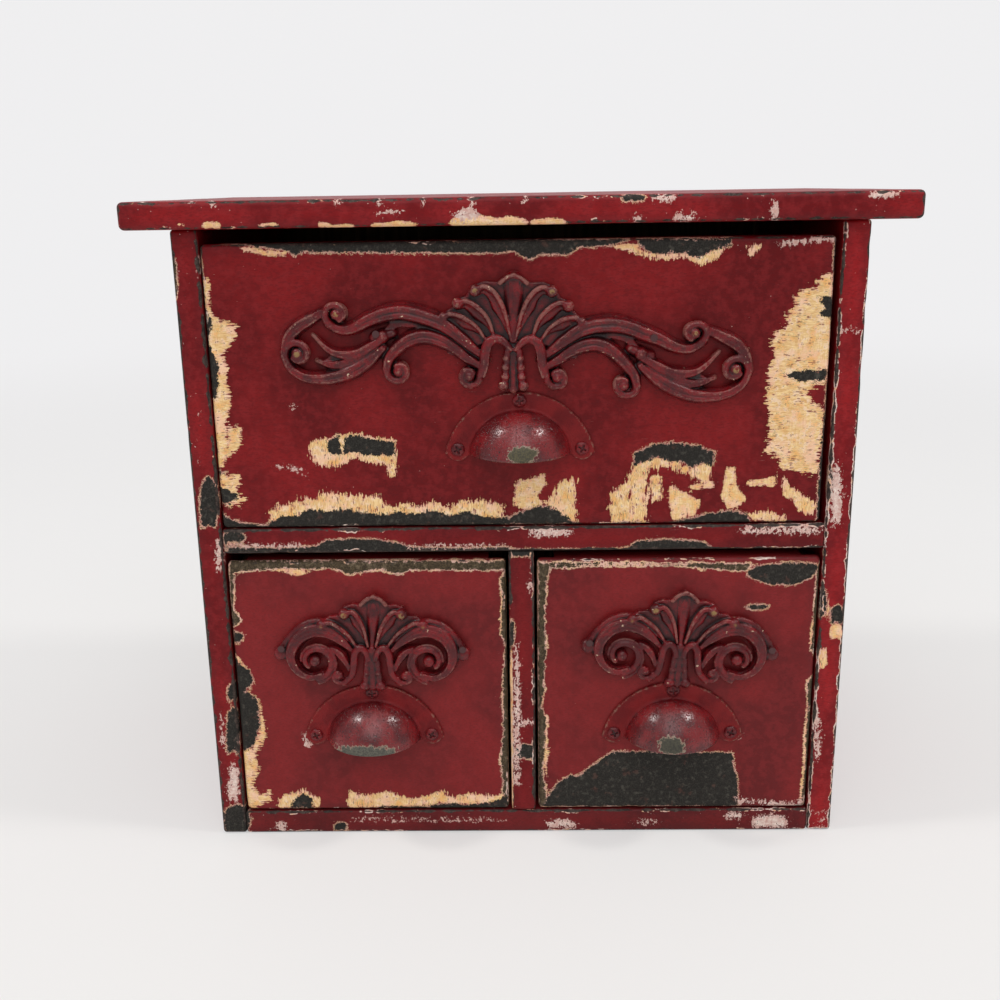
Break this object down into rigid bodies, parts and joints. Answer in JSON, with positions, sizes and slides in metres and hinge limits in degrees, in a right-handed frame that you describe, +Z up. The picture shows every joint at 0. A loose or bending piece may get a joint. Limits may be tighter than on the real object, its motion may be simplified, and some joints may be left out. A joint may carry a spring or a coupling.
{
  "type": "seed storage cabinet",
  "caption": "Small tabletop chest with one wide drawer over two narrow ones, cast cup pulls and shell ornaments on their fronts, in worn paint.",
  "frame": {"origin": "middle of the footprint of the case, on the surface that it stands on", "axes": "+X to the right as seen from the front, +Y to the back, +Z up; the drawers open along -Y"},
  "size_m": [0.2568, 0.1607, 0.2304],
  "materials": {
    "painted_case": "worn crimson paint",
    "painted_fronts": "worn crimson paint",
    "drawer_wood": "bare",
    "painted_pull": "glossy wine-red paint",
    "painted_casting": "glossy dark red paint, worn on the ridges",
    "screws": "painted over",
    "pins": "dull",
    "cut_nails": "rusty"
  },
  "bodies": {
    "cabinet": {"back_nails": "cut_nails", "back_panel": "painted_case", "bottom_board": "painted_case", "centre_divider": "painted_case", "divider_nails": "cut_nails", "left_side": "painted_case", "middle_shelf": "painted_case", "right_side": "painted_case", "side_nails": "cut_nails", "top_board": "painted_case", "top_nails": "cut_nails"},
    "upper_drawer": {"upper_drawer_front": "painted_fronts", "upper_drawer_left_side": "drawer_wood", "upper_drawer_right_side": "drawer_wood", "upper_drawer_back": "drawer_wood", "upper_drawer_bottom": "drawer_wood", "upper_drawer_nails": "cut_nails", "upper_pull": "painted_pull", "upper_pull_screws": "screws", "upper_ornament": "painted_casting", "upper_ornament_pins": "pins"},
    "lower_left_drawer": {"lower_left_drawer_front": "painted_fronts", "lower_left_drawer_left_side": "drawer_wood", "lower_left_drawer_right_side": "drawer_wood", "lower_left_drawer_back": "drawer_wood", "lower_left_drawer_bottom": "drawer_wood", "lower_left_drawer_nails": "cut_nails", "lower_left_pull": "painted_pull", "lower_left_pull_screws": "screws", "lower_left_ornament": "painted_casting", "lower_left_ornament_pins": "pins"},
    "lower_right_drawer": {"lower_right_drawer_front": "painted_fronts", "lower_right_drawer_left_side": "drawer_wood", "lower_right_drawer_right_side": "drawer_wood", "lower_right_drawer_back": "drawer_wood", "lower_right_drawer_bottom": "drawer_wood", "lower_right_drawer_nails": "cut_nails", "lower_right_pull": "painted_pull", "lower_right_pull_screws": "screws", "lower_right_ornament": "painted_casting", "lower_right_ornament_pins": "pins"}
  },
  "joints": [
    {"name": "upper_drawer_slide", "type": "slide", "parent": "cabinet", "child": "upper_drawer", "axis": [0, -1, 0], "range_m": [0, 0.11]},
    {"name": "lower_left_drawer_slide", "type": "slide", "parent": "cabinet", "child": "lower_left_drawer", "axis": [0, -1, 0], "range_m": [0, 0.11]},
    {"name": "lower_right_drawer_slide", "type": "slide", "parent": "cabinet", "child": "lower_right_drawer", "axis": [0, -1, 0], "range_m": [0, 0.11]}
  ]
}
